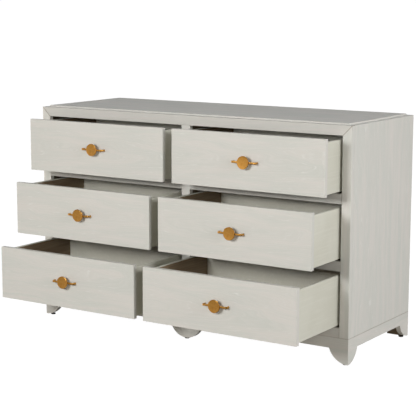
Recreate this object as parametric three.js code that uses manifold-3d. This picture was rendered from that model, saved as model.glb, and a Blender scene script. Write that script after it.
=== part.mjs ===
// A six-drawer dresser: two columns of three inset drawers in a face frame, on a base with lobed feet.
// Millimetres. +X is the dresser's right-hand side as seen from the front, +Y is its back, +Z is up.
// The origin is the middle of the sole of the glide under the centre front foot.
import * as THREE from 'three';
import { mergeVertices } from 'three/addons/utils/BufferGeometryUtils.js';
import Module from 'manifold-3d';

const wasm = await Module();
wasm.setup();

// Overall sizes
const WIDTH = 1420;
const DEPTH = 515;
const OPENING_HEIGHT = 209;

// Boards
const BOARD = 20;
const FRAME_WIDTH = 37;
const BOTTOM_RAIL_HEIGHT = 36;
const TOP_PANEL_THICK = 25;
const TOP_PANEL_PROUD = 6;
const BACK_PANEL_THICK = 8;
const BACK_RAIL_HEIGHT = 70;

// Base
const GLIDE_HEIGHT = 5;
const GLIDE_RADIUS = 10;
const GLIDE_INSET = 20;
const BASE_HEIGHT = 97;
const APRON_CLEARANCE = 55;
const FRONT_LOBE_RADIUS = 82;
const SIDE_LOBE_RADIUS = 77;
const CENTRE_LOBE_RADIUS = 74;
const LOBE_SOLE = 10;
const BACK_FOOT_WIDTH = 60;

// Drawers, drawn part open: each row by its own distance
const FRONT_THICK = 18;
const FRONT_GAP = 2;
const BOX_SIDE_INSET = 8;
const BOX_DROP = 12;
const BOX_LIFT = 6;
const BOX_LENGTH = 396;
const BOX_SIDE_THICK = 12;
const BOX_BOTTOM_THICK = 6;
const GROOVE_HEIGHT = 12;
const GROOVE_DEPTH = 6;
const OPEN_TOP = 124;
const OPEN_MIDDLE = 214;
const OPEN_BOTTOM = 312;

// Pulls
const PULL_LENGTH = 105;
const PULL_STANDOFF = 18;
const PULL_BAR_THICK = 5;
const PULL_BAR_HEIGHT = 7;
const PULL_CORNER = 6;
const PULL_DISC_RADIUS = 24;
const PULL_DISC_THICK = 4;
const PULL_DISC_EDGE = 1;

// Clearances
const GLUE_LINE = 0.2;
const GROOVE_CLEARANCE = 0.3;
const ARC_STEPS = 20;
const DISC_STEPS = 40;

// Levels and planes that follow from the sizes above
const FRONT = -BOARD / 2;
const BACK = FRONT + DEPTH;
const BEHIND_FRAME = FRONT + BOARD + GLUE_LINE;
const SOLE = GLIDE_HEIGHT;
const BASE_TOP = SOLE + BASE_HEIGHT;
const CARCASS_FOOT = BASE_TOP + GLUE_LINE;
const HALF = WIDTH / 2;
const HALF_INSIDE = HALF - BOARD - GLUE_LINE;
const HALF_OPENING_SPAN = HALF - FRAME_WIDTH;
const HALF_STILE = FRAME_WIDTH / 2;
const OPENING_WIDTH = HALF_OPENING_SPAN - HALF_STILE;
const OPENING_CENTRE = HALF_STILE + OPENING_WIDTH / 2;
const BOTTOM_OPENING = CARCASS_FOOT + BOTTOM_RAIL_HEIGHT;
const ROW_PITCH = OPENING_HEIGHT + FRAME_WIDTH;
const MIDDLE_OPENING = BOTTOM_OPENING + ROW_PITCH;
const TOP_OPENING = MIDDLE_OPENING + ROW_PITCH;
const CARCASS_TOP = TOP_OPENING + OPENING_HEIGHT + FRAME_WIDTH;
const TOP_PANEL_UNDERSIDE = CARCASS_TOP + TOP_PANEL_PROUD - TOP_PANEL_THICK;

const limedOak = () => new THREE.MeshStandardMaterial({ color: 0xcbcbc5, roughness: 0.55, metalness: 0 });
const paintedBox = () => new THREE.MeshStandardMaterial({ color: 0xc0c0b2, roughness: 0.6, metalness: 0 });
const agedBrass = () => new THREE.MeshStandardMaterial({ color: 0xb08638, roughness: 0.35, metalness: 1 });
const darkPlastic = () => new THREE.MeshStandardMaterial({ color: 0x26241f, roughness: 0.6, metalness: 0 });

const dresser = new THREE.Group();

function addMesh(parent, name, geometry, material) {
  const mesh = new THREE.Mesh(geometry, material);
  mesh.name = name;
  parent.add(mesh);
  return mesh;
}

// A rectangular board between two corners of its own box.
function addBoard(parent, name, [x0, x1], [y0, y1], [z0, z1], material) {
  const mesh = addMesh(parent, name, new THREE.BoxGeometry(x1 - x0, y1 - y0, z1 - z0), material);
  mesh.position.set((x0 + x1) / 2, (y0 + y1) / 2, (z0 + z1) / 2);
  return mesh;
}

// An outline drawn as (x, z) and extruded backwards along Y, from the plane y = 0.
function extrudeBack(outline, depth) {
  const geometry = new THREE.ExtrudeGeometry(outline, { depth, bevelEnabled: false, curveSegments: ARC_STEPS });
  geometry.rotateX(Math.PI / 2);
  geometry.translate(0, depth, 0);
  return geometry;
}

// An outline drawn as (y, z) and extruded along X, centred on x = 0.
function extrudeAcross(outline, width) {
  const geometry = new THREE.ExtrudeGeometry(outline, { depth: width, bevelEnabled: false, curveSegments: ARC_STEPS });
  geometry.translate(0, 0, -width / 2);
  geometry.applyMatrix4(new THREE.Matrix4().set(0, 0, 1, 0, 1, 0, 0, 0, 0, 1, 0, 0, 0, 0, 0, 1));
  return geometry;
}

function polygon(points) {
  return new THREE.Shape(points.map(([a, b]) => new THREE.Vector2(a, b)));
}

function toSolid(geometry) {
  const bare = geometry.clone();
  bare.deleteAttribute('normal');
  bare.deleteAttribute('uv');
  const merged = mergeVertices(bare);
  const vertProperties = new Float32Array(merged.attributes.position.array);
  const triVerts = new Uint32Array(merged.index.array);
  return new wasm.Manifold(new wasm.Mesh({ numProp: 3, vertProperties, triVerts }));
}

function toGeometry(solid) {
  const mesh = solid.getMesh();
  const geometry = new THREE.BufferGeometry();
  geometry.setAttribute('position', new THREE.BufferAttribute(new Float32Array(mesh.vertProperties), 3));
  geometry.setIndex(new THREE.BufferAttribute(new Uint32Array(mesh.triVerts), 1));
  geometry.computeVertexNormals();
  return geometry;
}

// Carcass: two sides, a top panel that stands proud between them, a back with a rail above it,
// a bottom and a partition.
function addCarcass(parent) {
  const carcassDepth = [BEHIND_FRAME, BACK];
  const fullHeight = [CARCASS_FOOT, CARCASS_TOP];
  addBoard(parent, 'side_panel_left', [-HALF, -HALF + BOARD], carcassDepth, fullHeight, limedOak());
  addBoard(parent, 'side_panel_right', [HALF - BOARD, HALF], carcassDepth, fullHeight, limedOak());

  const inside = [-HALF_INSIDE, HALF_INSIDE];
  const railFront = BACK - BOARD;
  const behindTop = railFront - GLUE_LINE;
  const topLevels = [TOP_PANEL_UNDERSIDE, CARCASS_TOP + TOP_PANEL_PROUD];
  addBoard(parent, 'top_panel', inside, [BEHIND_FRAME, behindTop], topLevels, limedOak());

  const railFoot = CARCASS_TOP - BACK_RAIL_HEIGHT;
  addBoard(parent, 'back_rail', inside, [railFront, BACK], [railFoot, CARCASS_TOP], limedOak());
  const backFace = BACK - BACK_PANEL_THICK;
  addBoard(parent, 'back_panel', inside, [backFace, BACK], [CARCASS_FOOT, railFoot - GLUE_LINE], limedOak());

  const beforeBack = backFace - GLUE_LINE;
  const floorLevels = [BOTTOM_OPENING - BOARD, BOTTOM_OPENING];
  addBoard(parent, 'bottom_panel', inside, [BEHIND_FRAME, beforeBack], floorLevels, limedOak());
  const partitionLevels = [BOTTOM_OPENING + GLUE_LINE, TOP_PANEL_UNDERSIDE - GLUE_LINE];
  const partitionDepth = [BEHIND_FRAME, behindTop];
  addBoard(parent, 'centre_partition', [-BOARD / 2, BOARD / 2], partitionDepth, partitionLevels, limedOak());
}

// Face frame: the stiles meet the top rail in a mitre, the bottom rail butts between them, and the
// two row rails pass behind the centre stile in half-lap joints.
function addFaceFrame(parent) {
  const inner = HALF_OPENING_SPAN;
  const railFoot = CARCASS_TOP - FRAME_WIDTH;
  const topRail = polygon([[-HALF + GLUE_LINE, CARCASS_TOP], [-inner + GLUE_LINE, railFoot],
    [inner - GLUE_LINE, railFoot], [HALF - GLUE_LINE, CARCASS_TOP]]);
  addMesh(parent, 'frame_top_rail', extrudeBack(topRail, BOARD), limedOak()).position.y = FRONT;

  for (const [side, sign] of [['left', -1], ['right', 1]]) {
    const stile = polygon([[sign * HALF, CARCASS_FOOT], [sign * inner, CARCASS_FOOT],
      [sign * inner, railFoot], [sign * HALF, CARCASS_TOP]]);
    addMesh(parent, `frame_stile_${side}`, extrudeBack(stile, BOARD), limedOak()).position.y = FRONT;
  }

  const between = [-inner + GLUE_LINE, inner - GLUE_LINE];
  addBoard(parent, 'frame_bottom_rail', between, [FRONT, FRONT + BOARD], [CARCASS_FOOT, BOTTOM_OPENING], limedOak());

  const lap = BOARD / 2;
  const lapHalf = HALF_STILE + GLUE_LINE;
  const rowRail = polygon([[between[0], 0], [-lapHalf, 0], [-lapHalf, lap + GLUE_LINE], [lapHalf, lap + GLUE_LINE],
    [lapHalf, 0], [between[1], 0], [between[1], BOARD], [between[0], BOARD]]);
  const railLevels = [MIDDLE_OPENING - FRAME_WIDTH, TOP_OPENING - FRAME_WIDTH];
  ['lower', 'upper'].forEach((row, i) => {
    const geometry = new THREE.ExtrudeGeometry(rowRail, { depth: FRAME_WIDTH, bevelEnabled: false });
    addMesh(parent, `frame_rail_${row}`, geometry, limedOak()).position.set(0, FRONT, railLevels[i]);
  });

  const foot = BOTTOM_OPENING + GLUE_LINE;
  const head = railFoot - GLUE_LINE;
  const backEdge = [[BOARD, foot]];
  for (const level of railLevels) {
    const below = level - GLUE_LINE;
    const above = level + FRAME_WIDTH + GLUE_LINE;
    backEdge.push([BOARD, below], [lap, below], [lap, above], [BOARD, above]);
  }
  const centreStile = polygon([[0, foot], ...backEdge, [BOARD, head], [0, head]]);
  addMesh(parent, 'frame_centre_stile', extrudeAcross(centreStile, FRAME_WIDTH), limedOak()).position.y = FRONT;
}

// How far a lobe reaches along the board from its lowest point to the underside of the apron.
function lobeReach(radius) {
  const centreLevel = Math.sqrt(radius ** 2 - LOBE_SOLE ** 2);
  return Math.sqrt(radius ** 2 - (centreLevel - APRON_CLEARANCE) ** 2);
}

// Draws one round half of a lobe, between its flat sole and the underside of the apron.
function lobeArc(outline, centre, radius, side, downwards) {
  const centreLevel = SOLE + Math.sqrt(radius ** 2 - LOBE_SOLE ** 2);
  const soleAngle = -Math.PI / 2 + side * Math.asin(LOBE_SOLE / radius);
  const apronAngle = -Math.PI / 2 + side * Math.asin(lobeReach(radius) / radius);
  const [from, to] = downwards ? [apronAngle, soleAngle] : [soleAngle, apronAngle];
  outline.absarc(centre, centreLevel, radius, from, to, from > to);
}

// A base board of the given length with a lobe at each end, and a middle lobe if it has a radius.
function lobedBoard(length, endRadius, middleRadius) {
  const half = length / 2;
  const outline = new THREE.Shape();
  const top = BASE_TOP;
  outline.moveTo(-half, top);
  outline.lineTo(-half, SOLE);
  outline.lineTo(-half + LOBE_SOLE, SOLE);
  lobeArc(outline, -half, endRadius, 1, false);
  if (middleRadius) {
    lobeArc(outline, 0, middleRadius, -1, true);
    lobeArc(outline, 0, middleRadius, 1, false);
  }
  lobeArc(outline, half, endRadius, -1, true);
  outline.lineTo(half, SOLE);
  outline.lineTo(half, top);
  return outline;
}

// Base: lobed boards mitred at the front corners, and a back board with square feet between the sides.
function addBase(parent) {
  const tall = BASE_TOP + BOARD;
  const frontPlan = polygon([[-HALF, 0], [HALF, 0], [HALF - BOARD, BOARD], [-HALF + BOARD, BOARD]]);
  const frontBlank = new THREE.ExtrudeGeometry(frontPlan, { depth: tall, bevelEnabled: false });
  const frontBoard = extrudeBack(lobedBoard(WIDTH, FRONT_LOBE_RADIUS, CENTRE_LOBE_RADIUS), BOARD);
  const front = toSolid(frontBoard).intersect(toSolid(frontBlank));
  addMesh(parent, 'base_front', toGeometry(front), limedOak()).position.y = FRONT;

  const mitre = GLUE_LINE * Math.SQRT2;
  const middle = (FRONT + BACK) / 2;
  for (const [side, sign] of [['left', -1], ['right', 1]]) {
    const sidePlan = polygon([[0, mitre - DEPTH / 2], [0, DEPTH / 2], [BOARD, DEPTH / 2],
      [BOARD, mitre + BOARD - DEPTH / 2]].map(([inwards, y]) => [-sign * inwards, y]));
    const sideBlank = new THREE.ExtrudeGeometry(sidePlan, { depth: tall, bevelEnabled: false });
    const sideBoard = extrudeAcross(lobedBoard(DEPTH, SIDE_LOBE_RADIUS, 0), BOARD);
    sideBoard.translate((-sign * BOARD) / 2, 0, 0);
    const solid = toSolid(sideBoard).intersect(toSolid(sideBlank));
    addMesh(parent, `base_${side}`, toGeometry(solid), limedOak()).position.set(sign * HALF, middle, 0);
  }

  const apron = SOLE + APRON_CLEARANCE;
  const footInner = HALF_INSIDE - BACK_FOOT_WIDTH;
  const backBoard = polygon([[-HALF_INSIDE, SOLE], [-footInner, SOLE], [-footInner, apron], [footInner, apron],
    [footInner, SOLE], [HALF_INSIDE, SOLE], [HALF_INSIDE, BASE_TOP], [-HALF_INSIDE, BASE_TOP]]);
  addMesh(parent, 'base_back', extrudeBack(backBoard, BOARD), limedOak()).position.y = BACK - BOARD;
}

function addGlide(parent, name, x, y) {
  const height = GLIDE_HEIGHT - GLUE_LINE;
  const geometry = new THREE.CylinderGeometry(GLIDE_RADIUS, GLIDE_RADIUS, height, DISC_STEPS);
  geometry.rotateX(Math.PI / 2);
  addMesh(parent, name, geometry, darkPlastic()).position.set(x, y, height / 2);
}

function addGlides(parent) {
  const across = HALF - GLIDE_INSET;
  addGlide(parent, 'glide_centre', 0, 0);
  addGlide(parent, 'glide_front_left', -across, FRONT + GLIDE_INSET);
  addGlide(parent, 'glide_front_right', across, FRONT + GLIDE_INSET);
  addGlide(parent, 'glide_back_left', -across, BACK - GLIDE_INSET);
  addGlide(parent, 'glide_back_right', across, BACK - GLIDE_INSET);
}

// A pull: a low bridge-shaped bar with a disc on its middle. Its feet stand on the plane y = 0.
function pullGeometry() {
  const half = PULL_LENGTH / 2;
  const inner = half - PULL_BAR_THICK;
  const innerCorner = PULL_CORNER - PULL_BAR_THICK;
  const plan = new THREE.Shape();
  plan.moveTo(-half, -GLUE_LINE);
  plan.absarc(-half + PULL_CORNER, -PULL_STANDOFF + PULL_CORNER, PULL_CORNER, Math.PI, 1.5 * Math.PI, false);
  plan.absarc(half - PULL_CORNER, -PULL_STANDOFF + PULL_CORNER, PULL_CORNER, 1.5 * Math.PI, 2 * Math.PI, false);
  plan.lineTo(half, -GLUE_LINE);
  plan.lineTo(inner, -GLUE_LINE);
  const innerFace = -PULL_STANDOFF + PULL_BAR_THICK + innerCorner;
  plan.absarc(inner - innerCorner, innerFace, innerCorner, 0, -Math.PI / 2, true);
  plan.absarc(-inner + innerCorner, innerFace, innerCorner, -Math.PI / 2, -Math.PI, true);
  plan.lineTo(-inner, -GLUE_LINE);
  const cornerSteps = ARC_STEPS / 4;
  const bar = new THREE.ExtrudeGeometry(plan, { depth: PULL_BAR_HEIGHT, bevelEnabled: false, curveSegments: cornerSteps });
  bar.translate(0, 0, -PULL_BAR_HEIGHT / 2);

  const seat = -PULL_STANDOFF + PULL_DISC_EDGE;
  const face = -PULL_STANDOFF - PULL_DISC_THICK;
  const profile = [[0, face], [PULL_DISC_RADIUS - PULL_DISC_EDGE, face], [PULL_DISC_RADIUS, face + PULL_DISC_EDGE],
    [PULL_DISC_RADIUS, seat], [0, seat]];
  const disc = new THREE.LatheGeometry(profile.map(([r, y]) => new THREE.Vector2(r, y)), DISC_STEPS);
  return toGeometry(toSolid(bar).add(toSolid(disc)));
}

// A box side stands on its lower edge and has a groove for the bottom on its inner face.
function boxSideGeometry(sign, height) {
  const grooveTop = GROOVE_HEIGHT + BOX_BOTTOM_THICK + 2 * GROOVE_CLEARANCE;
  const section = [[0, 0], [0, height], [BOX_SIDE_THICK, height], [BOX_SIDE_THICK, grooveTop],
    [BOX_SIDE_THICK - GROOVE_DEPTH, grooveTop], [BOX_SIDE_THICK - GROOVE_DEPTH, GROOVE_HEIGHT],
    [BOX_SIDE_THICK, GROOVE_HEIGHT], [BOX_SIDE_THICK, 0]];
  return extrudeBack(polygon(section.map(([inwards, z]) => [-sign * inwards, z])), BOX_LENGTH - GLUE_LINE);
}

// A drawer, built about the middle of its front face: y = 0 is that face, z = 0 its mid height.
function addDrawer(place, x, z, open) {
  const drawer = new THREE.Group();
  drawer.position.set(x, FRONT - open, z);
  dresser.add(drawer);

  const halfWidth = OPENING_WIDTH / 2 - FRONT_GAP;
  const halfHeight = OPENING_HEIGHT / 2 - FRONT_GAP;
  addBoard(drawer, `drawer_front_${place}`, [-halfWidth, halfWidth], [0, FRONT_THICK],
    [-halfHeight, halfHeight], limedOak());

  const boxHalf = halfWidth - BOX_SIDE_INSET;
  const boxFoot = -halfHeight + BOX_LIFT;
  const boxHead = halfHeight - BOX_DROP;
  const boxFront = FRONT_THICK + GLUE_LINE;
  for (const [side, sign] of [['left', -1], ['right', 1]]) {
    const geometry = boxSideGeometry(sign, boxHead - boxFoot);
    addMesh(drawer, `box_side_${side}_${place}`, geometry, paintedBox()).position.set(sign * boxHalf, boxFront, boxFoot);
  }

  const inside = boxHalf - BOX_SIDE_THICK - GLUE_LINE;
  const boxBack = FRONT_THICK + BOX_LENGTH;
  const bottomFoot = boxFoot + GROOVE_HEIGHT + GROOVE_CLEARANCE;
  const bottomHead = bottomFoot + BOX_BOTTOM_THICK;
  addBoard(drawer, `box_back_${place}`, [-inside, inside], [boxBack - BOX_SIDE_THICK, boxBack],
    [bottomHead + GLUE_LINE, boxHead], paintedBox());
  const bottomHalf = boxHalf - BOX_SIDE_THICK + GROOVE_DEPTH - GROOVE_CLEARANCE;
  addBoard(drawer, `box_bottom_${place}`, [-bottomHalf, bottomHalf], [boxFront, boxBack],
    [bottomFoot, bottomHead], paintedBox());
  addMesh(drawer, `pull_${place}`, pullGeometry(), agedBrass());
}

addCarcass(dresser);
addFaceFrame(dresser);
addBase(dresser);
addGlides(dresser);

const rows = [['top', TOP_OPENING, OPEN_TOP], ['middle', MIDDLE_OPENING, OPEN_MIDDLE],
  ['bottom', BOTTOM_OPENING, OPEN_BOTTOM]];
for (const [row, level, open] of rows) {
  const mid = level + OPENING_HEIGHT / 2;
  addDrawer(`${row}_left`, -OPENING_CENTRE, mid, open);
  addDrawer(`${row}_right`, OPENING_CENTRE, mid, open);
}

export default dresser;
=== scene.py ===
# A six-drawer dresser in limed oak: carcass, face frame, lobed base, painted drawer boxes and brass pulls.
import bmesh
import bpy
import math
import random
from mathutils import Matrix, Vector


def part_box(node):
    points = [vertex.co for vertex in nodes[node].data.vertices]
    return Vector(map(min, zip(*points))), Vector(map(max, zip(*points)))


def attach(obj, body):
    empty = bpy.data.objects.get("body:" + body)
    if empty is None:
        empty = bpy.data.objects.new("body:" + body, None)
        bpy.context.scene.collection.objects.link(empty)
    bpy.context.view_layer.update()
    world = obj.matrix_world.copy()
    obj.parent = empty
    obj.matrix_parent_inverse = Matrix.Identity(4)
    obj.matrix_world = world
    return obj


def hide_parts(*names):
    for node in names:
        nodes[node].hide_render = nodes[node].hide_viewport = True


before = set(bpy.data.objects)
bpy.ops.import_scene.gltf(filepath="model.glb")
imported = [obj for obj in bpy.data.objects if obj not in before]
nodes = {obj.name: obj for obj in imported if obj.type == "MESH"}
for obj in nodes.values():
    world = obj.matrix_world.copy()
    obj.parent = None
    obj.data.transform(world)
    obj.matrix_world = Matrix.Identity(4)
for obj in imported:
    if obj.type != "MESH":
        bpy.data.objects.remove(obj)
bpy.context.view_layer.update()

# ---------------------------------------------------------------------------------------------------------
# Oak boards of the carcass: two sides, the top, the back with its rail, the bottom and the partition.
# Veneered board, limed: a grey-white wash rubbed over open-pored oak, so that the pores stay chalk white
# and the harder late wood between them keeps a little warmth. Every arris is eased with fine paper.
MM = 0.001
OAK_GREY = (0.622, 0.627, 0.586, 1)
OAK_ROSE = (0.688, 0.662, 0.624, 1)
OAK_LIME = (0.745, 0.740, 0.712, 1)
OAK_WARM = (0.600, 0.580, 0.530, 1)
OAK_THIN_WASH = (0.510, 0.485, 0.445, 1)
OAK_SEAM = (0.200, 0.140, 0.085, 1)
# Bare oak of the inside faces, darkened well below its own colour to paint the shade inside the dresser.
OAK_BARE_PAINTED_SHADE = (0.150, 0.108, 0.066, 1)
RING_SPACING = 5.5 * MM
PORE_DEPTH = 0.25 * MM
EASED_ARRIS = 0.8 * MM
RUBBED_WIDTH = 2.2 * MM
UNFINISHED_SKIN = 0.4 * MM
SEAM_WIDTH = 0.9 * MM
MITRE_SEAM_STRENGTH = 0.75
BUTT_SEAM_STRENGTH = 0.45


def add_node(tree, kind, **settings):
    node = tree.nodes.new(kind)
    for name, value in settings.items():
        setattr(node, name, value)
    return node


def arithmetic(tree, operation, first, second=None, third=None):
    node = add_node(tree, "ShaderNodeMath", operation=operation)
    for socket, value in zip(node.inputs, (first, second, third)):
        if value is None:
            continue
        if isinstance(value, (int, float)):
            socket.default_value = value
        else:
            tree.links.new(value, socket)
    return node.outputs[0]


def stretched(tree, vector, along, across):
    """Squeezes the board's coordinates so that a noise runs in long streaks with the grain."""
    node = add_node(tree, "ShaderNodeVectorMath", operation="MULTIPLY")
    tree.links.new(vector, node.inputs[0])
    node.inputs[1].default_value = (along, across, across)
    return node.outputs[0]


def noise(tree, vector, detail=2.0, roughness=0.5):
    node = add_node(tree, "ShaderNodeTexNoise")
    node.inputs["Scale"].default_value = 1.0
    node.inputs["Detail"].default_value = detail
    node.inputs["Roughness"].default_value = roughness
    tree.links.new(vector, node.inputs["Vector"])
    return node.outputs[0]


def ramp(tree, value, low, high, to_low=0.0, to_high=1.0):
    node = add_node(tree, "ShaderNodeMapRange", interpolation_type="SMOOTHSTEP")
    tree.links.new(value, node.inputs["Value"])
    node.inputs["From Min"].default_value = low
    node.inputs["From Max"].default_value = high
    node.inputs["To Min"].default_value = to_low
    node.inputs["To Max"].default_value = to_high
    return node.outputs["Result"]


def blend(tree, amount, first, second):
    node = add_node(tree, "ShaderNodeMix", data_type="RGBA")
    for socket, value in ((node.inputs[0], amount), (node.inputs[6], first), (node.inputs[7], second)):
        if isinstance(value, (tuple, float, int)):
            socket.default_value = value
        else:
            tree.links.new(value, socket)
    return node.outputs[2]


def length_of(tree, first, second):
    """The straight distance made up by two others at right angles."""
    first = arithmetic(tree, "MULTIPLY", first, first)
    second = arithmetic(tree, "MULTIPLY", second, second)
    return arithmetic(tree, "SQRT", arithmetic(tree, "ADD", first, second))


def new_finish(name):
    material = bpy.data.materials.new(name)
    material.use_nodes = True
    return material, material.node_tree, material.node_tree.nodes["Principled BSDF"]


def surface_point(tree):
    return add_node(tree, "ShaderNodeTexCoord").outputs["Object"]


def axes_of(tree, vector):
    axes = add_node(tree, "ShaderNodeSeparateXYZ")
    tree.links.new(vector, axes.inputs[0])
    return axes.outputs


def turned_along(tree, vector, axis):
    """Turns the coordinates so that the grain, which runs along their X, follows the given axis."""
    turned = add_node(tree, "ShaderNodeMapping")
    turned.inputs["Rotation"].default_value = GRAIN_TURN[axis]
    tree.links.new(vector, turned.inputs["Vector"])
    return turned.outputs[0]


def add_relief(tree, surface, height, strength, depth):
    relief = add_node(tree, "ShaderNodeBump")
    relief.inputs["Strength"].default_value = strength
    relief.inputs["Distance"].default_value = depth
    tree.links.new(height, relief.inputs["Height"])
    tree.links.new(relief.outputs["Normal"], surface.inputs["Normal"])


def oak_figure():
    """The grain itself, shared by all boards. It reads coordinates in metres with X along the grain."""
    tree = bpy.data.node_groups.new("limed_oak_figure", "ShaderNodeTree")
    tree.interface.new_socket("Board", in_out="INPUT", socket_type="NodeSocketVector")
    tree.interface.new_socket("Heart", in_out="INPUT", socket_type="NodeSocketVector")
    tree.interface.new_socket("Color", in_out="OUTPUT", socket_type="NodeSocketColor")
    tree.interface.new_socket("Roughness", in_out="OUTPUT", socket_type="NodeSocketFloat")
    tree.interface.new_socket("Height", in_out="OUTPUT", socket_type="NodeSocketFloat")
    group_in = add_node(tree, "NodeGroupInput")
    group_out = add_node(tree, "NodeGroupOutput")
    board = group_in.outputs["Board"]

    # the heart of the tree lies below the face and slopes up to it, which draws the rings out into arches
    along, depth_in_board, across = axes_of(tree, board)
    heart_across, heart_depth, heart_slope = axes_of(tree, group_in.outputs["Heart"])
    wander = ramp(tree, noise(tree, stretched(tree, board, 2.6, 11.0), 3.0), 0.25, 0.75, -0.016, 0.016)
    sideways = arithmetic(tree, "ADD", arithmetic(tree, "SUBTRACT", across, heart_across), wander)
    depth = arithmetic(tree, "MULTIPLY_ADD", along, heart_slope, heart_depth)
    depth = arithmetic(tree, "ADD", depth, arithmetic(tree, "ADD", depth_in_board, wander))
    radius = length_of(tree, sideways, depth)
    ring = arithmetic(tree, "FRACT", arithmetic(tree, "DIVIDE", radius, RING_SPACING))
    late = ramp(tree, ring, 0.25, 0.75, 1.0, 0.0)
    early = arithmetic(tree, "MULTIPLY", ramp(tree, ring, 0.0, 0.12), late)

    along_rings = add_node(tree, "ShaderNodeCombineXYZ")
    tree.links.new(along, along_rings.inputs[0])
    tree.links.new(radius, along_rings.inputs[1])

    pores = ramp(tree, noise(tree, stretched(tree, board, 110.0, 1500.0), 1.0), 0.50, 0.62)
    fibre = noise(tree, stretched(tree, board, 5.0, 230.0), 4.0, 0.65)
    streak = noise(tree, stretched(tree, along_rings.outputs[0], 2.2, 34.0), 4.0, 0.60)
    chalk = noise(tree, stretched(tree, along_rings.outputs[0], 15.0, 210.0), 2.0, 0.55)

    limed = arithmetic(tree, "MULTIPLY", early, arithmetic(tree, "MULTIPLY_ADD", pores, 0.22, 0.07))
    chalked = arithmetic(tree, "MULTIPLY", ramp(tree, chalk, 0.60, 0.74), 0.62)
    limed = arithmetic(tree, "ADD", limed, chalked)
    warm = arithmetic(tree, "MULTIPLY", ramp(tree, fibre, 0.48, 0.80), 0.26)
    tone = blend(tree, ramp(tree, streak, 0.34, 0.66), OAK_GREY, OAK_ROSE)
    colour = blend(tree, limed, blend(tree, warm, tone, OAK_WARM), OAK_LIME)
    tree.links.new(colour, group_out.inputs["Color"])

    rough = arithmetic(tree, "MULTIPLY_ADD", pores, 0.14, 0.46)
    tree.links.new(arithmetic(tree, "MULTIPLY_ADD", fibre, 0.10, rough), group_out.inputs["Roughness"])
    height = arithmetic(tree, "MULTIPLY_ADD", arithmetic(tree, "MULTIPLY", pores, early), -0.7,
                        arithmetic(tree, "MULTIPLY_ADD", early, -0.25, fibre))
    tree.links.new(height, group_out.inputs["Height"])
    return tree


figure = oak_figure()
GRAIN_TURN = {"x": (0, 0, 0), "y": (0, 0, -math.pi / 2), "z": (0, math.pi / 2, 0)}


def edge_distance(tree, board_name):
    """How far a point of the board's surface lies from its nearest long or short edge."""
    low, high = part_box(board_name)
    inwards = add_node(tree, "ShaderNodeVectorMath", operation="SUBTRACT")
    tree.links.new(surface_point(tree), inwards.inputs[0])
    inwards.inputs[1].default_value = (low + high) / 2
    folded = add_node(tree, "ShaderNodeVectorMath", operation="ABSOLUTE")
    tree.links.new(inwards.outputs[0], folded.inputs[0])
    depth = add_node(tree, "ShaderNodeVectorMath", operation="SUBTRACT")
    depth.inputs[0].default_value = (high - low) / 2
    tree.links.new(folded.outputs[0], depth.inputs[1])
    x, y, z = axes_of(tree, depth.outputs[0])
    least = arithmetic(tree, "MINIMUM", x, y)
    most = arithmetic(tree, "MAXIMUM", x, y)
    return arithmetic(tree, "MAXIMUM", least, arithmetic(tree, "MINIMUM", most, z))


def unfinished(tree, board_name, faces):
    """One on the faces inside the dresser, which the finisher leaves bare and which are darkened into
    painted shade. Each is an axis and an end.
    """
    here = axes_of(tree, surface_point(tree))
    bare = 0.0
    for face in faces:
        axis = "xyz".index(face[0])
        low, high = (corner[axis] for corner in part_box(board_name))
        if face[1] == "+":
            inside = arithmetic(tree, "GREATER_THAN", here[axis], high - UNFINISHED_SKIN)
        else:
            inside = arithmetic(tree, "LESS_THAN", here[axis], low + UNFINISHED_SKIN)
        bare = arithmetic(tree, "MAXIMUM", inside, bare)
    return bare


def mitre_seam(tree, low, high):
    """One along the thin brown glue line where a stile meets the top rail at 45 degrees."""
    x, _, z = axes_of(tree, surface_point(tree))
    corner = max(-low.x, high.x) - high.z
    offset = arithmetic(tree, "SUBTRACT", arithmetic(tree, "ABSOLUTE", x), z)
    offset = arithmetic(tree, "ABSOLUTE", arithmetic(tree, "SUBTRACT", offset, corner))
    return ramp(tree, offset, SEAM_WIDTH, 2 * SEAM_WIDTH, MITRE_SEAM_STRENGTH, 0.0)


def butt_seam(tree, board_name, ends):
    """One along the thin brown line where an end or an edge of the board is glued to its neighbour."""
    here = axes_of(tree, surface_point(tree))
    low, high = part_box(board_name)
    line = 0.0
    for end in ends:
        axis = "xyz".index(end[0])
        place = high[axis] if end[1] == "+" else low[axis]
        offset = arithmetic(tree, "ABSOLUTE", arithmetic(tree, "SUBTRACT", here[axis], place))
        seam = ramp(tree, offset, SEAM_WIDTH, 2 * SEAM_WIDTH, BUTT_SEAM_STRENGTH, 0.0)
        line = arithmetic(tree, "MAXIMUM", seam, line)
    return line


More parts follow.
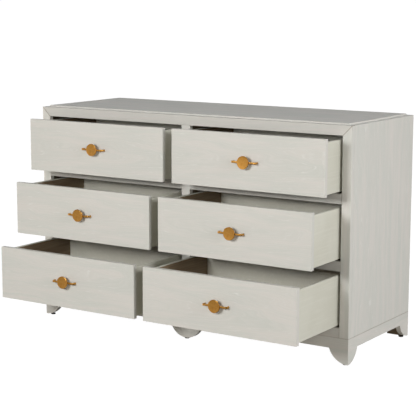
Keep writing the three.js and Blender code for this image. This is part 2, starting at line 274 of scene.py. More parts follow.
def limed_oak(board_name, grain, arched=False, shaded_bare_faces=(), thin_wash=0.0, mitred=False, butted=()):
    """The finish of one board, with its own stretch of figure. Only wide flat-sawn boards show arches."""
    draw = random.Random("oak " + board_name)
    low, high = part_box(board_name)
    across = (high - low).length / 4 if arched else 0.35
    heart = (draw.uniform(-0.25, 0.25) * across, draw.uniform(0.012, 0.03), draw.uniform(0.045, 0.07))
    if not arched:
        heart = (draw.uniform(0.25, 0.4), draw.uniform(0.05, 0.15), draw.uniform(0.005, 0.015))
    material, tree, surface = new_finish("limed_oak_" + board_name)

    shifted = add_node(tree, "ShaderNodeVectorMath", operation="SUBTRACT")
    tree.links.new(surface_point(tree), shifted.inputs[0])
    shifted.inputs[1].default_value = (low + high) / 2 + Vector((draw.uniform(-0.3, 0.3), 0, 0))
    board = turned_along(tree, shifted.outputs[0], grain)
    wood = add_node(tree, "ShaderNodeGroup", node_tree=figure)
    tree.links.new(board, wood.inputs["Board"])
    wood.inputs["Heart"].default_value = heart

    rubbed = ramp(tree, edge_distance(tree, board_name), 0.0, RUBBED_WIDTH, 1.0, 0.0)
    patchy = ramp(tree, noise(tree, stretched(tree, board, 35.0, 90.0), 2.0), 0.40, 0.62)
    worn = arithmetic(tree, "MULTIPLY", arithmetic(tree, "MULTIPLY", rubbed, patchy), 0.55)
    colour = blend(tree, worn, wood.outputs["Color"], OAK_WARM)
    if thin_wash:
        colour = blend(tree, thin_wash, colour, OAK_THIN_WASH)
    if mitred:
        colour = blend(tree, mitre_seam(tree, low, high), colour, OAK_SEAM)
    if butted:
        colour = blend(tree, butt_seam(tree, board_name, butted), colour, OAK_SEAM)
    # the faces inside the dresser take bare oak, darkened further as painted shade
    if shaded_bare_faces:
        colour = blend(tree, unfinished(tree, board_name, shaded_bare_faces), colour, OAK_BARE_PAINTED_SHADE)
    tree.links.new(colour, surface.inputs["Base Color"])
    tree.links.new(wood.outputs["Roughness"], surface.inputs["Roughness"])
    surface.inputs["Specular IOR Level"].default_value = 0.35
    add_relief(tree, surface, wood.outputs["Height"], 0.35, PORE_DEPTH)
    return material


def round_faces():
    """Joins each board's split corners and shades its curved faces smooth, leaving the arrises sharp."""
    tree = bpy.data.node_groups.new("round_faces", "GeometryNodeTree")
    tree.interface.new_socket("Geometry", in_out="INPUT", socket_type="NodeSocketGeometry")
    tree.interface.new_socket("Geometry", in_out="OUTPUT", socket_type="NodeSocketGeometry")
    group_in = add_node(tree, "NodeGroupInput")
    group_out = add_node(tree, "NodeGroupOutput")
    joined = add_node(tree, "GeometryNodeMergeByDistance")
    joined.inputs["Distance"].default_value = 0.02 * MM
    smooth = add_node(tree, "GeometryNodeSetShadeSmooth", domain="FACE")
    angle = add_node(tree, "GeometryNodeInputMeshEdgeAngle")
    is_sharp = add_node(tree, "ShaderNodeMath", operation="GREATER_THAN")
    is_sharp.inputs[1].default_value = math.radians(28)
    sharp = add_node(tree, "GeometryNodeSetShadeSmooth", domain="EDGE")
    sharp.inputs["Shade Smooth"].default_value = False
    tree.links.new(group_in.outputs[0], joined.inputs["Geometry"])
    tree.links.new(joined.outputs[0], smooth.inputs["Geometry"])
    tree.links.new(angle.outputs["Unsigned Angle"], is_sharp.inputs[0])
    tree.links.new(smooth.outputs[0], sharp.inputs["Geometry"])
    tree.links.new(is_sharp.outputs[0], sharp.inputs["Selection"])
    tree.links.new(sharp.outputs[0], group_out.inputs[0])
    return tree


smooth_shading = round_faces()


def ease_arrises(piece, width=EASED_ARRIS, segments=3):
    rounded = piece.modifiers.new("round_faces", "NODES")
    rounded.node_group = smooth_shading
    eased = piece.modifiers.new("eased_arrises", "BEVEL")
    eased.width = width
    eased.segments = segments
    eased.limit_method = "ANGLE"
    eased.angle_limit = math.radians(40)
    eased.harden_normals = True
    eased.use_clamp_overlap = True


def finish_board(board_name, material, width=EASED_ARRIS):
    piece = nodes[board_name]
    piece.data.materials.clear()
    piece.data.materials.append(material)
    ease_arrises(piece, width)


for board_name, grain, arched, shaded_bare_faces in (
        ("side_panel_left", "z", False, ("x+",)), ("side_panel_right", "z", False, ("x-",)),
        ("top_panel", "x", True, ("z-",)), ("back_rail", "x", False, ("y-",)),
        ("back_panel", "x", False, ("y-",)), ("bottom_panel", "x", False, ("z+", "z-")),
        ("centre_partition", "z", False, ("x-", "x+"))):
    finish_board(board_name, limed_oak(board_name, grain, arched, shaded_bare_faces))

# ---------------------------------------------------------------------------------------------------------
# Face frame: solid oak stiles and rails on the front of the carcass, mitred at the top corners and
# lapped behind the centre stile. The rails took the wash a little thinner than the stiles.
FRAME_ARRIS = 0.7 * MM
RAIL_THIN_WASH = 0.3

for board_name in ("frame_stile_left", "frame_stile_right", "frame_centre_stile"):
    mitred = board_name != "frame_centre_stile"
    wood = limed_oak(board_name, "z", shaded_bare_faces=("y+",), mitred=mitred)
    finish_board(board_name, wood, FRAME_ARRIS)
for board_name in ("frame_top_rail", "frame_bottom_rail", "frame_rail_upper", "frame_rail_lower"):
    mitred = board_name == "frame_top_rail"
    butted = () if mitred else ("x-", "x+")
    wood = limed_oak(board_name, "x", shaded_bare_faces=("y+",), thin_wash=RAIL_THIN_WASH, mitred=mitred,
                     butted=butted)
    finish_board(board_name, wood, FRAME_ARRIS)

# ---------------------------------------------------------------------------------------------------------
# Base: oak boards sawn to round lobes at the front and the sides, and to plain square feet at the back,
# mitred at the front corners and glued up under the carcass, where a thin brown line shows.
for board_name, grain, inner_face in (("base_front", "x", "y+"), ("base_left", "y", "x+"),
                                      ("base_right", "y", "x-"), ("base_back", "x", "y-")):
    wood = limed_oak(board_name, grain, shaded_bare_faces=(inner_face,), butted=("z+",))
    finish_board(board_name, wood, FRAME_ARRIS)

# ---------------------------------------------------------------------------------------------------------
# Corner blocks: beech blocks, three-cornered in plan, glued and rubbed into the inner corners of the
# base behind the mitres, above the curve of the feet.
BLOCK_LEG = 38 * MM
BLOCK_TALL = 46 * MM
BLOCK_NOSE = 8 * MM
BLOCK_GLUE_GAP = 0.4 * MM
BEECH = (0.560, 0.425, 0.285, 1)
BEECH_DARK = (0.440, 0.315, 0.200, 1)


def closed_solid(name, points, faces):
    mesh = bpy.data.meshes.new(name)
    mesh.from_pydata(points, [], faces)
    solid = bmesh.new()
    solid.from_mesh(mesh)
    bmesh.ops.recalc_face_normals(solid, faces=solid.faces)
    solid.to_mesh(mesh)
    solid.free()
    piece = bpy.data.objects.new(name, mesh)
    bpy.context.scene.collection.objects.link(piece)
    return piece


def loft(name, rings):
    """Skins a closed solid over rings of points that all have the same count, and caps both ends."""
    count = len(rings[0])
    points = [point for ring in rings for point in ring]
    faces = []
    for i in range(len(rings) - 1):
        for j in range(count):
            k = (j + 1) % count
            faces.append((i * count + j, i * count + k, (i + 1) * count + k, (i + 1) * count + j))
    faces.append(tuple(reversed(range(count))))
    faces.append(tuple((len(rings) - 1) * count + j for j in range(count)))
    return closed_solid(name, points, faces)


def plain_wood(name, light, dark, along, across, axis):
    """A close-grained wood with fine streaks along one axis, planed and left unfinished."""
    material, tree, surface = new_finish(name)
    board = turned_along(tree, surface_point(tree), axis)
    streaks = noise(tree, stretched(tree, board, along, across), 4.0, 0.6)
    tree.links.new(blend(tree, ramp(tree, streaks, 0.35, 0.70), light, dark), surface.inputs["Base Color"])
    tree.links.new(arithmetic(tree, "MULTIPLY_ADD", streaks, 0.2, 0.55), surface.inputs["Roughness"])
    add_relief(tree, surface, streaks, 0.3, 0.2 * MM)
    return material


def add_piece(piece, body, material, arris=0.4 * MM):
    piece.data.materials.append(material)
    ease_arrises(piece, arris, 2)
    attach(piece, body)


beech = plain_wood("bare_beech", BEECH, BEECH_DARK, 14.0, 420.0, "z")
base_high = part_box("base_front")[1]
back_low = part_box("base_back")[0]
inner_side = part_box("base_right")[0].x
for side, sign in (("left", -1), ("right", 1)):
    for end, corner_y, into in (("front", base_high.y, 1), ("back", back_low.y, -1)):
        x = sign * (inner_side - BLOCK_GLUE_GAP)
        y = corner_y + into * BLOCK_GLUE_GAP
        plan = ((x, y), (x - sign * BLOCK_LEG, y), (x - sign * BLOCK_LEG, y + into * BLOCK_NOSE),
                (x - sign * BLOCK_NOSE, y + into * BLOCK_LEG), (x, y + into * BLOCK_LEG))
        levels = (base_high.z - BLOCK_TALL, base_high.z - BLOCK_GLUE_GAP)
        rings = [[(*corner, z) for corner in plan] for z in levels]
        block = loft("corner_block_" + end + "_" + side, rings)
        add_piece(block, "carcass", beech, 0.8 * MM)

# ---------------------------------------------------------------------------------------------------------
# Glides: moulded plastic discs with a domed edge and a recess for the nail that holds them. They are
# nailed up into the soles of the feet.
GLIDE_STEPS = 64
FLAT_PART = 0.72
DOME_PART = 0.62
DOME_STEPS = 8
PLASTIC = (0.022, 0.019, 0.016, 1)
PLASTIC_SCUFFED = (0.075, 0.068, 0.060, 1)


def turned_solid(name, profile, centre, axis, steps):
    """Turns a profile of (radius, distance along the axis) about the axis. Its ends lie on the axis."""
    points, faces = [], []
    ring_start = []
    for radius, along in profile:
        ring_start.append(len(points))
        if radius == 0:
            points.append((0.0, 0.0, along))
            continue
        for i in range(steps):
            angle = math.tau * i / steps
            points.append((radius * math.cos(angle), radius * math.sin(angle), along))
    for first, second in zip(range(len(profile) - 1), range(1, len(profile))):
        a, b = ring_start[first], ring_start[second]
        for i in range(steps):
            k = (i + 1) % steps
            if profile[first][0] == 0:
                faces.append((a, b + i, b + k))
            elif profile[second][0] == 0:
                faces.append((a + k, a + i, b))
            else:
                faces.append((a + i, b + i, b + k, a + k))
    piece = closed_solid(name, points, faces)
    piece.data.transform(axis.to_track_quat("Z", "Y").to_matrix().to_4x4())
    piece.location = centre
    return piece


def moulded_plastic():
    material, tree, surface = new_finish("dark_moulded_plastic")
    scuffs = noise(tree, stretched(tree, surface_point(tree), 900.0, 300.0), 3.0)
    scuffs = ramp(tree, scuffs, 0.52, 0.70)
    tree.links.new(blend(tree, scuffs, PLASTIC, PLASTIC_SCUFFED), surface.inputs["Base Color"])
    tree.links.new(arithmetic(tree, "MULTIPLY_ADD", scuffs, 0.3, 0.42), surface.inputs["Roughness"])
    add_relief(tree, surface, scuffs, 0.25, 0.1 * MM)
    return material


plastic = moulded_plastic()
for node_name in sorted(nodes):
    if not node_name.startswith("glide_"):
        continue
    low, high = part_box(node_name)
    radius = (high.x - low.x) / 2
    tall = high.z - low.z
    sole = [(0.0, 1.6 * MM), (2.6 * MM, 1.5 * MM), (3.0 * MM, 0.2 * MM), (3.5 * MM, 0.0),
            (radius * FLAT_PART, 0.0)]
    dome = [(radius * (FLAT_PART + (1 - FLAT_PART) * math.sin(t)), tall * DOME_PART * (1 - math.cos(t)))
            for t in (math.pi / 2 * i / DOME_STEPS for i in range(1, DOME_STEPS + 1))]
    profile = sole + dome + [(radius, tall - 0.2 * MM), (radius - 0.2 * MM, tall), (0.0, tall)]
    centre = Vector(((low.x + high.x) / 2, (low.y + high.y) / 2, low.z))
    glide = turned_solid(node_name + "_moulded", profile, centre, Vector((0, 0, 1)), GLIDE_STEPS)
    add_piece(glide, "carcass", plastic, 0.1 * MM)
    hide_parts(node_name)

# ---------------------------------------------------------------------------------------------------------
# Back screws: dark phosphated countersunk screws that hold the back panel to the sides, the partition and
# the bottom. Their heads stand a hair proud, each in a small dished seat.
SCREW_RADIUS = 3.4 * MM
SCREW_PROUD = 0.3 * MM
SCREW_PITCH = 150 * MM
SCREW_EDGE = 9 * MM
SCREW_SEAT = 1.2 * MM
SCREW_STEPS = 24
SCREW_ARRIS = 0.05 * MM
DARK_STEEL = (0.120, 0.112, 0.100, 1)
DARK_STEEL_WORN = (0.200, 0.190, 0.170, 1)


def dull_metal(name, bright, dull, roughness):
    """Plated or rolled metal with faint cloudy wear."""
    material, tree, surface = new_finish(name)
    surface.inputs["Metallic"].default_value = 1.0
    clouds = noise(tree, stretched(tree, surface_point(tree), 60.0, 220.0), 3.0)
    tree.links.new(blend(tree, ramp(tree, clouds, 0.40, 0.65), bright, dull), surface.inputs["Base Color"])
    tree.links.new(arithmetic(tree, "MULTIPLY_ADD", clouds, 0.25, roughness), surface.inputs["Roughness"])
    return material


def screw_heads(name, places, axis):
    """Several countersunk heads, each with a round recess, as one piece. Axis points out of the wood."""
    head = [(0.0, -SCREW_SEAT), (SCREW_RADIUS * 0.6, -SCREW_SEAT), (SCREW_RADIUS, -0.1 * MM),
            (SCREW_RADIUS, SCREW_PROUD * 0.6), (SCREW_RADIUS * 0.9, SCREW_PROUD),
            (SCREW_RADIUS * 0.42, SCREW_PROUD), (SCREW_RADIUS * 0.30, SCREW_PROUD - 0.8 * MM),
            (0.0, SCREW_PROUD - 1.0 * MM)]
    heads = [turned_solid(name + str(i), head, place, axis, SCREW_STEPS) for i, place in enumerate(places)]
    mesh = bpy.data.meshes.new(name)
    together = bmesh.new()
    for one in heads:
        copy = one.data.copy()
        copy.transform(Matrix.Translation(one.location))
        together.from_mesh(copy)
        bpy.data.objects.remove(one)
    together.to_mesh(mesh)
    together.free()
    piece = bpy.data.objects.new(name, mesh)
    bpy.context.scene.collection.objects.link(piece)
    return piece


screw_steel = dull_metal("screw_steel", DARK_STEEL, DARK_STEEL_WORN, 0.35)
low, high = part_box("back_panel")
across_count = round((high.x - low.x) / SCREW_PITCH)
up_count = round((high.z - low.z) / SCREW_PITCH)
places = []
for i in range(across_count + 1):
    x = low.x + SCREW_EDGE + (high.x - low.x - 2 * SCREW_EDGE) * i / across_count
    places += [Vector((x, high.y, low.z + SCREW_EDGE)), Vector((x, high.y, high.z - SCREW_EDGE))]
for i in range(1, up_count):
    z = low.z + SCREW_EDGE + (high.z - low.z - 2 * SCREW_EDGE) * i / up_count
    places += [Vector((x, high.y, z)) for x in (low.x + SCREW_EDGE, 0.0, high.x - SCREW_EDGE)]
back_screws = screw_heads("back_screws", places, Vector((0, 1, 0)))
add_piece(back_screws, "carcass", screw_steel, SCREW_ARRIS)

# ---------------------------------------------------------------------------------------------------------
# Runners: each drawer hangs on a pair of dark phosphated steel runners below its box. The fixed half is
# screwed to a poplar packer that fills out the space behind the stiles. The sliding half is screwed
# under the drawer bottom and straddles the fixed half's inner flange.
PLACES = [row + "_" + side for row in ("top", "middle", "bottom") for side in ("left", "right")]
STEEL = 1.2 * MM
RUNNER_UPRIGHT = 30 * MM
RUNNER_BELOW_BOX = 4 * MM
RUNNER_TONGUE = 11 * MM
SLIDE_WIDTH = 17 * MM
SLIDE_DEPTH = 9 * MM
SLIDE_BESIDE_BOX = 6 * MM
SLIDE_FRONT_SETBACK = 4 * MM
SLIDE_BACK_SETBACK = 14 * MM
PACKER_TALL = 44 * MM
PACKER_GAP = 0.3 * MM
RUNNER_SETBACK = 1 * MM
STEEL_ARRIS = 0.2 * MM
POPLAR = (0.540, 0.480, 0.330, 1)
POPLAR_DARK = (0.430, 0.370, 0.240, 1)


def folded_strip(path, thickness):
    """The outline of a strip of that thickness folded along a path of (x, z) points with square folds."""
    left, right = [], []
    for i, (x, z) in enumerate(path):
        before = path[max(i - 1, 0)]
        after = path[min(i + 1, len(path) - 1)]
        steps = [(x - before[0], z - before[1]), (after[0] - x, after[1] - z)]
        normals = []
        for dx, dz in steps:
            length = math.hypot(dx, dz)
            if length > 0:
                normals.append((-dz / length, dx / length))
        nx = sum(normal[0] for normal in normals)
        nz = sum(normal[1] for normal in normals)
        if len(normals) == 2 and normals[0] == normals[1]:
            nx, nz = normals[0]
        left.append((x + nx * thickness / 2, z + nz * thickness / 2))
        right.append((x - nx * thickness / 2, z - nz * thickness / 2))
    return left + right[::-1]


def along_y(name, outline, y_from, y_to):
    """Runs an outline of (x, z) points along Y."""
    return loft(name, [[(x, y, z) for x, z in outline] for y in (y_from, y_to)])


runner_steel = dull_metal("runner_steel", DARK_STEEL, DARK_STEEL_WORN, 0.42)
poplar = plain_wood("bare_poplar", POPLAR, POPLAR_DARK, 9.0, 260.0, "y")
carcass_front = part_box("centre_partition")[0].y
carcass_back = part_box("back_panel")[0].y
for place in PLACES:
    column = -1 if place.endswith("left") else 1
    bottom_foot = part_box("box_bottom_" + place)[0].z
    for side, sign in (("left", -1), ("right", 1)):
        box_low, box_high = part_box("box_side_" + side + "_" + place)
        inner_face = box_high.x if sign < 0 else box_low.x
        if sign == column:
            opening_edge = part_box("frame_stile_" + side)[1 if sign < 0 else 0].x
            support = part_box("side_panel_" + side)[1 if sign < 0 else 0].x
        else:
            opening_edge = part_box("frame_centre_stile")[1 if column > 0 else 0].x
            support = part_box("centre_partition")[1 if column > 0 else 0].x
        flange = opening_edge - sign * (STEEL / 2 + 0.2 * MM)
        web = box_low.z - RUNNER_BELOW_BOX
        tongue = inner_face - sign * (SLIDE_BESIDE_BOX + SLIDE_WIDTH / 2)
        # the fixed half folds up against the packer, runs level under the box and turns up in the slide
        fixed_path = [(flange, web + RUNNER_UPRIGHT), (flange, web), (tongue, web),
                      (tongue, web + RUNNER_TONGUE)]
        fixed = along_y("runner_" + side + "_" + place, folded_strip(fixed_path, STEEL),
                        carcass_front + 2 * RUNNER_SETBACK, carcass_back - RUNNER_SETBACK)
        add_piece(fixed, "carcass", runner_steel, STEEL_ARRIS)

        inner, outer = sorted((opening_edge + sign * PACKER_GAP, support - sign * PACKER_GAP))
        foot = web - 1 * MM
        head = foot + PACKER_TALL
        packer = along_y("packer_" + side + "_" + place,
                         [(inner, foot), (outer, foot), (outer, head), (inner, head)],
                         carcass_front + RUNNER_SETBACK, carcass_back - RUNNER_SETBACK)
        add_piece(packer, "carcass", poplar, 0.5 * MM)

        slide_top = bottom_foot - 0.4 * MM - STEEL / 2
        slide_half = SLIDE_WIDTH / 2 - STEEL / 2
        slide_path = [(tongue - slide_half, slide_top - SLIDE_DEPTH), (tongue - slide_half, slide_top),
                      (tongue + slide_half, slide_top), (tongue + slide_half, slide_top - SLIDE_DEPTH)]
        slide = along_y("slide_" + side + "_" + place, folded_strip(slide_path, STEEL),
                        box_low.y + SLIDE_FRONT_SETBACK, box_high.y - SLIDE_BACK_SETBACK)
        add_piece(slide, "drawer_" + place, runner_steel, STEEL_ARRIS)

# ---------------------------------------------------------------------------------------------------------
# Drawer fronts: flat-sawn limed oak, 18 mm thick, one board for each drawer with the grain across. The
# box is screwed to its back.
FRONT_ARRIS = 1.0 * MM

for place in PLACES:
    board_name = "drawer_front_" + place
    finish_board(board_name, limed_oak(board_name, "x", True), FRONT_ARRIS)

# ---------------------------------------------------------------------------------------------------------
# Drawer boxes: poplar sides and back sprayed with a smooth grey-green lacquer, and a thin bottom of bare
# dark plywood in a groove. The insides of the sides are left bare, their brown darkened into painted
# shade.
# Their top edges are rounded over, and dip at the front end.
# Bare poplar of the box insides, darkened well below its own colour as painted shade inside the drawers.
SHADED_BARE_SIDE = (0.290, 0.215, 0.135, 1)
SHADED_BARE_SIDE_DARK = (0.215, 0.152, 0.090, 1)
PLYWOOD = (0.330, 0.225, 0.130, 1)
PLYWOOD_DARK = (0.235, 0.150, 0.080, 1)
BOX_LACQUER = (0.665, 0.658, 0.578, 1)
BOX_LACQUER_LIGHT = (0.700, 0.692, 0.615, 1)
BOX_LACQUER_DEEP = (0.625, 0.616, 0.532, 1)
ROUND_OVER = 4.5 * MM
ROUND_STEPS = 6
FRONT_DIP = 12 * MM
DIP_DEPTH = 0.55
DIP_STEPS = 8
GROOVE_SLACK = 0.3 * MM
BACK_ARRIS = 1.5 * MM
PLYWOOD_ARRIS = 0.3 * MM


def box_lacquer():
    material, tree, surface = new_finish("box_lacquer")
    here = surface_point(tree)
    show_through = noise(tree, stretched(tree, turned_along(tree, here, "y"), 5.0, 95.0), 3.0, 0.6)
    clouds = noise(tree, stretched(tree, here, 4.0, 6.0), 3.0)
    orange_peel = noise(tree, stretched(tree, here, 650.0, 650.0), 1.0)
    tone = blend(tree, ramp(tree, clouds, 0.35, 0.68), BOX_LACQUER_DEEP, BOX_LACQUER)
    tone = blend(tree, ramp(tree, show_through, 0.45, 0.75, 0.0, 0.55), tone, BOX_LACQUER_LIGHT)
    tree.links.new(tone, surface.inputs["Base Color"])
    tree.links.new(arithmetic(tree, "MULTIPLY_ADD", clouds, 0.16, 0.36), surface.inputs["Roughness"])
    surface.inputs["Specular IOR Level"].default_value = 0.4
    height = arithmetic(tree, "MULTIPLY_ADD", show_through, 0.8, orange_peel)
    add_relief(tree, surface, height, 0.2, 0.08 * MM)
    return material


def quarter_round(centre_x, centre_z, radius, start):
    """A quarter circle of points, from the start angle in degrees onwards, anticlockwise."""
    angles = [math.radians(start + 90 * i / ROUND_STEPS) for i in range(ROUND_STEPS + 1)]
    return [(centre_x + radius * math.cos(t), centre_z + radius * math.sin(t)) for t in angles]


def side_section(low, high, groove_low, groove_high, groove_floor, inner_face, top):
    """The outline of a box side across its length: rounded top, square foot, a groove on the inside."""
    rounded = quarter_round(high.x - ROUND_OVER, top - ROUND_OVER, ROUND_OVER, 0)
    rounded += quarter_round(low.x + ROUND_OVER, top - ROUND_OVER, ROUND_OVER, 90)
    groove = [(inner_face, groove_low), (groove_floor, groove_low),
              (groove_floor, groove_high), (inner_face, groove_high)]
    foot = [(low.x, low.z), (high.x, low.z)]
    if inner_face == high.x:
        return foot + groove + rounded
    return foot + rounded + groove[::-1]


lacquer = box_lacquer()
plywood = plain_wood("bare_plywood", PLYWOOD, PLYWOOD_DARK, 5.0, 110.0, "x")
shaded_bare_side = plain_wood("shaded_bare_box_side", SHADED_BARE_SIDE, SHADED_BARE_SIDE_DARK, 6.0, 150.0, "y")
for place in PLACES:
    bottom_low, bottom_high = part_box("box_bottom_" + place)
    for side, sign in (("left", -1), ("right", 1)):
        node_name = "box_side_" + side + "_" + place
        low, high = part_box(node_name)
        inner_face = high.x if sign < 0 else low.x
        groove_floor = (bottom_low.x if sign < 0 else bottom_high.x) + sign * GROOVE_SLACK
        rings = []
        stations = [(low.y + FRONT_DIP * t, FRONT_DIP * (1 - math.sqrt(1 - (1 - t) ** 2)) * DIP_DEPTH)
                    for t in (i / DIP_STEPS for i in range(DIP_STEPS + 1))]
        for y, dip in stations + [(high.y, 0.0)]:
            section = side_section(low, high, bottom_low.z - GROOVE_SLACK, bottom_high.z + GROOVE_SLACK,
                                   groove_floor, inner_face, high.z - dip)
            rings.append([(x, y, z) for x, z in section])
        box_side = loft(node_name + "_rounded", rings)
        add_piece(box_side, "drawer_" + place, lacquer, 0.5 * MM)
        box_side.data.materials.append(shaded_bare_side)
        # the second finish is the bare wood of the inside, darkened into painted shade
        for face in box_side.data.polygons:
            if face.normal.x * sign < -0.99:
                face.material_index = 1
        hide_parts(node_name)
    finish_board("box_back_" + place, lacquer, BACK_ARRIS)
    finish_board("box_bottom_" + place, plywood, PLYWOOD_ARRIS)

# ---------------------------------------------------------------------------------------------------------
# Pulls: aged brass. A low bridge-shaped bar, a little slimmer towards its middle, with a turned disc
# brazed across it, held by two screws from inside the drawer front.
PULL_STAND = 18 * MM
BAR_THICK = 5 * MM
BAR_HALF_HEIGHT = 3.9 * MM
BAR_BEND = 4.5 * MM
BAR_WAIST = 0.80
BAR_BEND_STEPS = 10
BAR_RUN_STEPS = 12
BAR_ROUND = 1.3 * MM
BRASS = (0.600, 0.310, 0.072, 1)
BRASS_DARK = (0.480, 0.225, 0.046, 1)
BRASS_BRIGHT = (0.740, 0.440, 0.140, 1)
DISC_STEPS = 96
PULL_SCREW_INSET = 2.5 * MM
BRASS_ARRIS = 0.1 * MM
DISC_EDGE = 4.3 * MM
DISC_BACK = 5.0 * MM


def aged_brass():
    """Warm antique brass, turned in fine rings about the middle of a pull, darker where it tarnishes."""
    material, tree, surface = new_finish("aged_brass")
    surface.inputs["Metallic"].default_value = 1.0
    here = surface_point(tree)
    x, _, z = axes_of(tree, here)
    rings = add_node(tree, "ShaderNodeCombineXYZ")
    tree.links.new(arithmetic(tree, "MULTIPLY", length_of(tree, x, z), 2200.0), rings.inputs[0])
    turned_marks = noise(tree, rings.outputs[0], 3.0, 0.7)
    tarnish = ramp(tree, noise(tree, stretched(tree, here, 85.0, 85.0), 4.0, 0.6), 0.38, 0.70)
    tone = blend(tree, tarnish, BRASS, BRASS_DARK)
    tone = blend(tree, ramp(tree, turned_marks, 0.45, 0.75, 0.0, 0.5), tone, BRASS_BRIGHT)
    tree.links.new(tone, surface.inputs["Base Color"])
    tree.links.new(arithmetic(tree, "MULTIPLY_ADD", tarnish, 0.12, 0.34), surface.inputs["Roughness"])
    add_relief(tree, surface, turned_marks, 0.25, 0.05 * MM)
    return material


def bar_section(half_height, half_thick):
    """A rounded rectangle of (height, thickness) offsets from the middle of the bar."""
    corner_x = half_height - BAR_ROUND
    corner_y = half_thick - BAR_ROUND
    outline = []
    for start, sx, sy in ((0, 1, 1), (90, -1, 1), (180, -1, -1), (270, 1, -1)):
        for t in (math.radians(start + 30 * i) for i in range(4)):
            outline.append((sx * corner_x + BAR_ROUND * math.cos(t),
                            sy * corner_y + BAR_ROUND * math.sin(t)))
    return outline


def pull_bar(name, centre, half_length, foot_y, half_height):
    """Sweeps the section along the bridge: up from one foot, round a bend, across, and down again."""
    run_y = foot_y - (PULL_STAND - BAR_THICK / 2)
    leg_x = half_length - BAR_THICK / 2
    turns = [math.pi / 2 * i / BAR_BEND_STEPS for i in range(BAR_BEND_STEPS + 1)]
    bend = [(leg_x - BAR_BEND * (1 - math.cos(t)), run_y + BAR_BEND * (1 - math.sin(t)), t) for t in turns]
    middle = [(leg_x - BAR_BEND) * (2 * i / BAR_RUN_STEPS - 1) for i in range(1, BAR_RUN_STEPS)]
    path = [(-leg_x, foot_y, 0.0)]
    path += [(-x, y, t) for x, y, t in bend]
    path += [(x, run_y, math.pi / 2) for x in middle]
    path += [(x, y, math.pi - t) for x, y, t in reversed(bend)]
    path.append((leg_x, foot_y, math.pi))
    rings = []
    for x, y, heading in path:
        waist = BAR_WAIST + (1 - BAR_WAIST) * min(1.0, abs(x) / leg_x) ** 0.8
        across = Vector((-math.cos(heading), -math.sin(heading), 0))
        ring = []
        for up, out in bar_section(half_height * waist, BAR_THICK / 2):
            ring.append(Vector((x, y, up)) + across * out - Vector((0, centre.y, 0)))
        rings.append(ring)
    bar = loft(name, rings)
    bar.location = centre
    return bar


brass = aged_brass()
for place in PLACES:
    node_name = "pull_" + place
    low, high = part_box(node_name)
    centre = Vector(((low.x + high.x) / 2, low.y, (low.z + high.z) / 2))
    disc_radius = (high.z - low.z) / 2
    bar = pull_bar("pull_bar_" + place, centre, (high.x - low.x) / 2, high.y, BAR_HALF_HEIGHT)
    add_piece(bar, "drawer_" + place, brass, BRASS_ARRIS)
    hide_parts(node_name)
    face = [(0.0, 0.35 * MM), (disc_radius * 0.5, 0.25 * MM), (disc_radius - 2.6 * MM, 0.1 * MM),
            (disc_radius - 1.9 * MM, 0.0), (disc_radius - 0.9 * MM, 0.0),
            (disc_radius - 0.25 * MM, 0.35 * MM), (disc_radius, 1.0 * MM), (disc_radius, DISC_EDGE),
            (disc_radius - 0.6 * MM, DISC_BACK), (0.0, DISC_BACK)]
    disc = turned_solid("pull_disc_" + place, face, centre, Vector((0, 1, 0)), DISC_STEPS)
    add_piece(disc, "drawer_" + place, brass, BRASS_ARRIS)
    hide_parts(node_name)
    inner_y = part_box("drawer_front_" + place)[1].y
    seats = [Vector((x, inner_y, centre.z)) for x in (low.x + PULL_SCREW_INSET, high.x - PULL_SCREW_INSET)]
    screws = screw_heads("pull_screws_" + place, seats, Vector((0, 1, 0)))
    add_piece(screws, "drawer_" + place, screw_steel, SCREW_ARRIS)

# ---------------------------------------------------------------------------------------------------------
# The studio: a white paper floor that curves up into a glowing white wall, which lends the dresser no
# light, and five lamps: a broad soft one and a small hard one in front, a weak one at the front right and
# two large ones at the right. Each is a name, azimuth, elevation, width, height, watts and tint.
FLOOR_RADIUS = 40.0
WALL_TOP = 55.0
COVE_RADIUS = 4.0
COVE_STEPS = 8
FLOOR_SEGMENTS = 96
FLOOR_GLOW = 1.0
LAMPS = (("soft_key", -5, 17.5, 1.0, 1.0, 106.0, (1.0, 1.0, 1.0)),
         ("hard_key", -30, 14, 0.25, 0.25, 9.6, (1.06, 1.0, 0.90)),
         ("front_fill", 35, 14, 0.5, 0.5, 14.5, (1.05, 1.0, 0.90)),
         ("side_fill", 76, 17, 1.2, 0.7, 43.5, (1.0, 1.0, 1.0)),
         ("low_side_fill", 85, 7.5, 3.9, 1.2, 67.5, (1.0, 1.0, 1.0)))
LAMP_DISTANCE = 4.5
LAMP_AIM = Vector((0, 0, 0.45))

cove = [(FLOOR_RADIUS + COVE_RADIUS * math.sin(t), COVE_RADIUS * (1 - math.cos(t)))
        for t in (math.pi / 2 * i / COVE_STEPS for i in range(COVE_STEPS + 1))]
backdrop_points, backdrop_faces = [], [tuple(range(FLOOR_SEGMENTS))]
for radius, z in cove + [(cove[-1][0], WALL_TOP)]:
    for t in (math.tau * i / FLOOR_SEGMENTS for i in range(FLOOR_SEGMENTS)):
        backdrop_points.append((radius * math.cos(t), radius * math.sin(t), z))
for ring in range(len(cove)):
    for i in range(FLOOR_SEGMENTS):
        k = (i + 1) % FLOOR_SEGMENTS
        first, second = ring * FLOOR_SEGMENTS, (ring + 1) * FLOOR_SEGMENTS
        backdrop_faces.append((first + i, second + i, second + k, first + k))
floor_mesh = bpy.data.meshes.new("studio_floor")
floor_mesh.from_pydata(backdrop_points, [], backdrop_faces)
floor = bpy.data.objects.new("studio_floor", floor_mesh)
bpy.context.scene.collection.objects.link(floor)
pale, _, pale_surface = new_finish("studio_floor")
pale_surface.inputs["Base Color"].default_value = (0.10, 0.10, 0.10, 1)
pale_surface.inputs["Roughness"].default_value = 0.9
pale_surface.inputs["Specular IOR Level"].default_value = 0.0
pale_surface.inputs["Emission Color"].default_value = (1, 1, 1, 1)
pale_surface.inputs["Emission Strength"].default_value = FLOOR_GLOW
floor_mesh.materials.append(pale)
floor.visible_diffuse = False
floor.visible_glossy = False
floor.visible_shadow = False

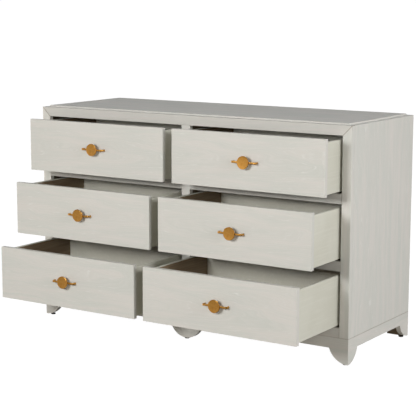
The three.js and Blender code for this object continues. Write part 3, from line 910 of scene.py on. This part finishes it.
for lamp_name, azimuth, elevation, lamp_width, lamp_height, watts, tint in LAMPS:
    turn = math.radians(azimuth)
    rise = math.radians(elevation)
    towards = Vector((math.sin(turn) * math.cos(rise), -math.cos(turn) * math.cos(rise), math.sin(rise)))
    lamp = bpy.data.lights.new(lamp_name, "AREA")
    lamp.shape = "RECTANGLE"
    lamp.size = lamp_width
    lamp.size_y = lamp_height
    lamp.energy = watts
    lamp.color = tint
    stand = bpy.data.objects.new(lamp_name, lamp)
    stand.location = LAMP_AIM + towards * LAMP_DISTANCE
    stand.rotation_euler = (-towards).to_track_quat("-Z", "Y").to_euler()
    stand.visible_glossy = lamp_name != "low_side_fill"
    bpy.context.scene.collection.objects.link(stand)

# ---------------------------------------------------------------------------------------------------------
# The surround: warm light thrown up by the floor, strong from the far left and none from the right, and a
# glow high behind the dresser. Each edge below is a pair of direction components between which it changes.
FLOOR_BOUNCE = 0.45
BOUNCE_UNDERNEATH = 0.06
LEFT_BOUNCE = 3.5
WALL_BOUNCE = 0.04
REAR_GLOW = 1.38
BOUNCE_TINT = (1.07, 1.0, 0.87, 1)
CLEAR = (1.0, 1.0, 1.0, 1)
LEFT_EDGE = (-0.91, -0.84)
RIGHT_EDGE = (0.78, 0.86)
UNDERNEATH_EDGE = (-0.45, -0.40)
HORIZON = (-0.02, 0.03)
TINT_EDGE = (0.0, 0.1)
REAR_EDGE = (0.20, 0.42)
GLOW_FOOT = (0.22, 0.32)
GLOW_HEAD = (0.66, 0.76)

surround = bpy.data.worlds.new("studio_surround")
bpy.context.scene.world = surround
surround.use_nodes = True
sky = surround.node_tree
east, north, up = axes_of(sky, add_node(sky, "ShaderNodeTexCoord").outputs["Generated"])
bounce = ramp(sky, up, *UNDERNEATH_EDGE, BOUNCE_UNDERNEATH, FLOOR_BOUNCE)
for share in (ramp(sky, east, *LEFT_EDGE, LEFT_BOUNCE / FLOOR_BOUNCE, 1.0),
              ramp(sky, east, *RIGHT_EDGE, 1.0, 0.0),
              ramp(sky, up, *HORIZON, 1.0, WALL_BOUNCE / FLOOR_BOUNCE)):
    bounce = arithmetic(sky, "MULTIPLY", bounce, share)
glow = ramp(sky, north, *REAR_EDGE, 0.0, REAR_GLOW)
for share in (ramp(sky, up, *GLOW_FOOT), ramp(sky, up, *GLOW_HEAD, 1.0, 0.0)):
    glow = arithmetic(sky, "MULTIPLY", glow, share)
backing = sky.nodes["Background"]
sky.links.new(arithmetic(sky, "ADD", bounce, glow), backing.inputs["Strength"])
sky.links.new(blend(sky, ramp(sky, up, *TINT_EDGE), BOUNCE_TINT, CLEAR), backing.inputs["Color"])

# ---------------------------------------------------------------------------------------------------------
# The camera, at chest height in front of the dresser and to its right, in metres and radians.
CAMERA_LENS = 112.37
CAMERA_PLACE = (2.7849, -4.0944, 1.3288)
CAMERA_DIP = 0.1624
CAMERA_ROLL = -0.0018
CAMERA_TURN = 0.5813

camera_data = bpy.data.cameras.new("camera")
camera_data.lens = CAMERA_LENS
camera_data.sensor_width = 36.0
camera_data.clip_start = 0.1
camera_data.clip_end = 8000.0
camera = bpy.data.objects.new("camera", camera_data)
bpy.context.scene.collection.objects.link(camera)
camera.location = CAMERA_PLACE
camera.rotation_mode = "XYZ"
camera.rotation_euler = (math.pi / 2 - CAMERA_DIP, CAMERA_ROLL, CAMERA_TURN)
bpy.context.scene.camera = camera
bpy.context.scene.view_settings.view_transform = "Standard"
